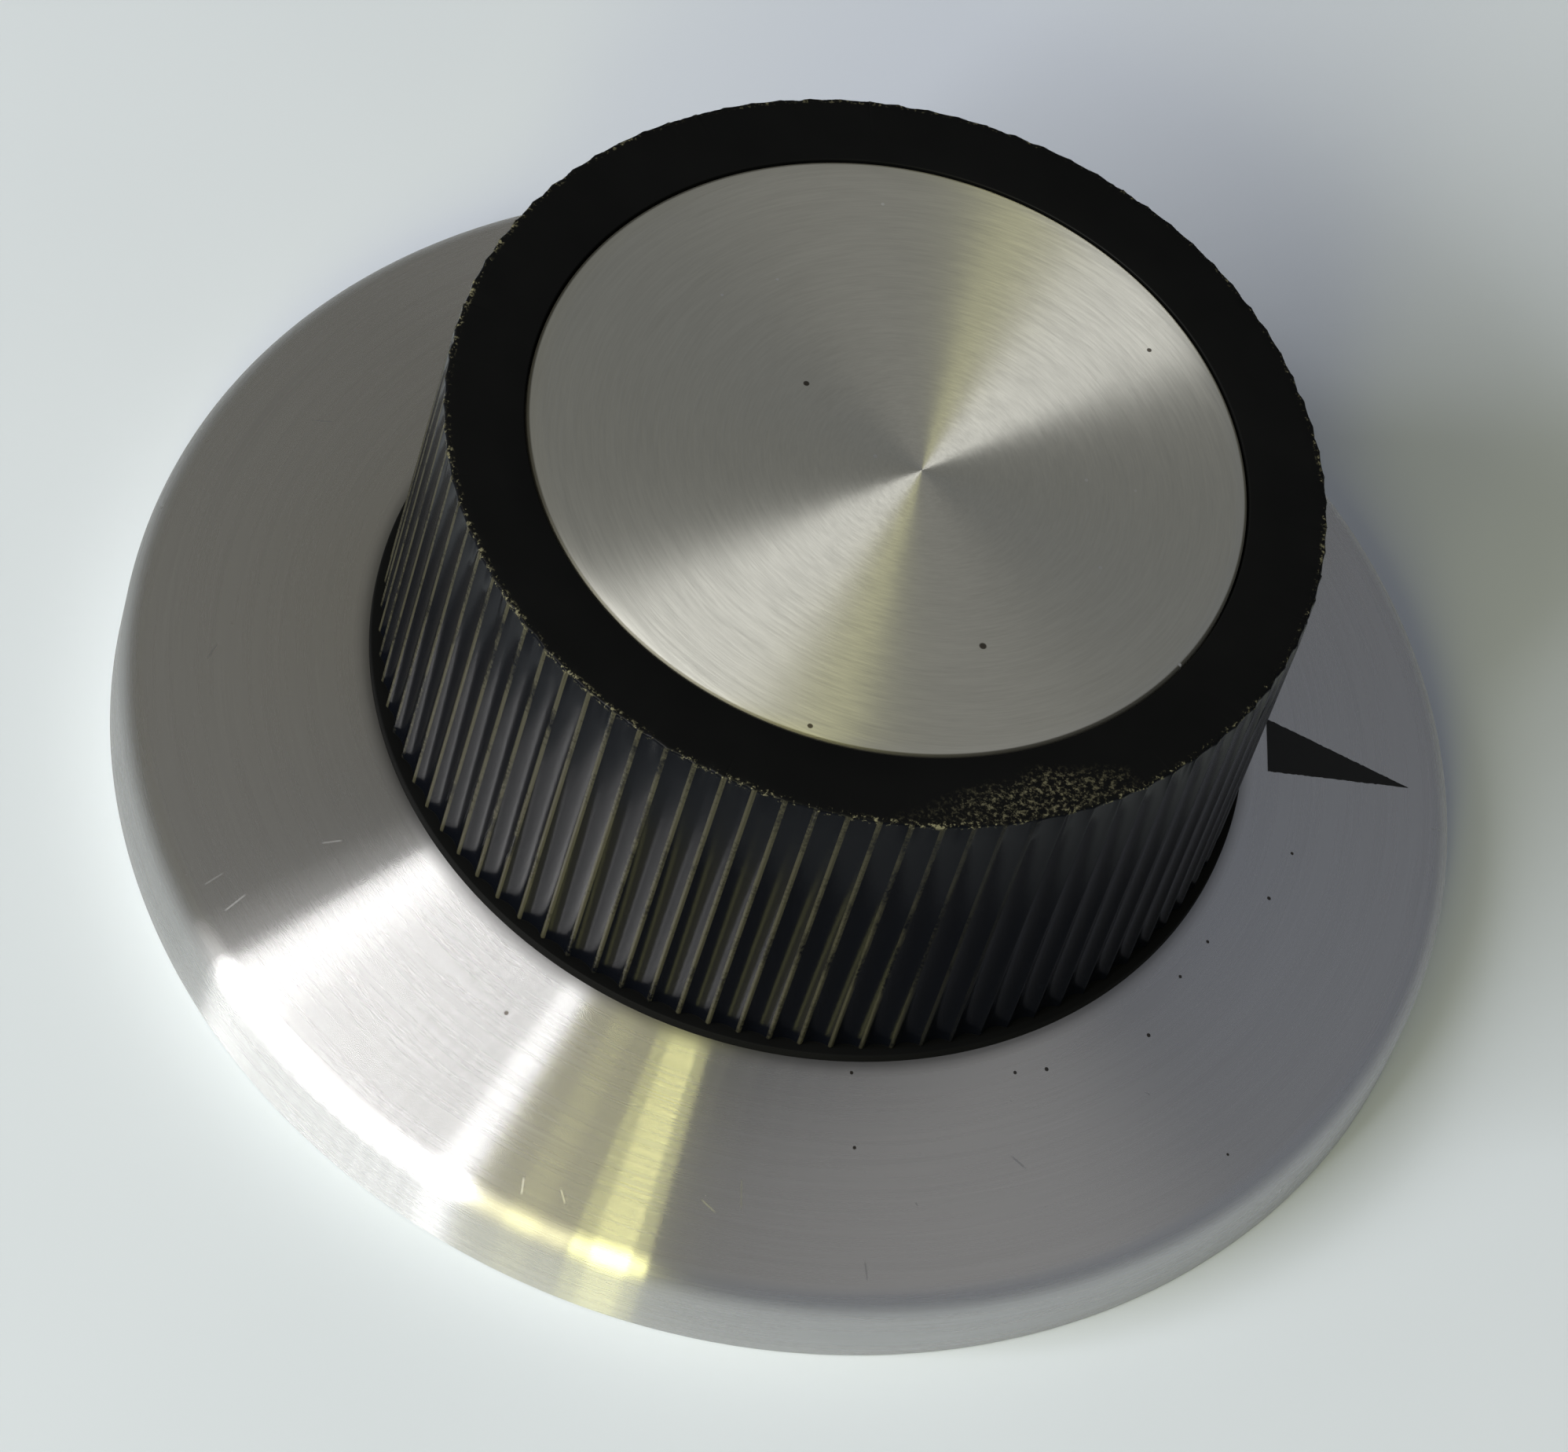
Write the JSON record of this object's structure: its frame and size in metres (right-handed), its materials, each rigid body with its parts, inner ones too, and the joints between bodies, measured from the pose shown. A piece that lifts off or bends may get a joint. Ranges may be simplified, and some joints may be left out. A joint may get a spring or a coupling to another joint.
{
  "type": "skirted control knob",
  "caption": "Fluted black control knob with a spun metal skirt, printed pointer and brushed top disc, clamped on a round shaft by set screws.",
  "frame": {"origin": "on the shaft axis, in the plane of the skirt's rim, which rests on the panel", "axes": "+Z along the shaft axis towards the top disc; the pointer lies 15 degrees from +X towards +Y"},
  "size_m": [0.0382, 0.0382, 0.0153],
  "materials": {
    "moulded_black": "moulded phenolic, near-black, matte top ring and satin fluted side",
    "spun_disc": "circular brushed, bare",
    "bushing_brass": "turned, dull",
    "screw_steel": "black oxide",
    "spun_skirt": "circular brushed, clear coated",
    "retainer_steel": "zinc plated spring steel",
    "pointer_ink": "black printed ink"
  },
  "bodies": {
    "root": {"grip_body": "moulded_black", "top_disc": "spun_disc", "shaft_bushing": "bushing_brass", "set_screw_front": "screw_steel", "set_screw_side": "screw_steel", "skirt": "spun_skirt", "skirt_retainer": "retainer_steel", "pointer_mark": "pointer_ink"}
  },
  "joints": []
}
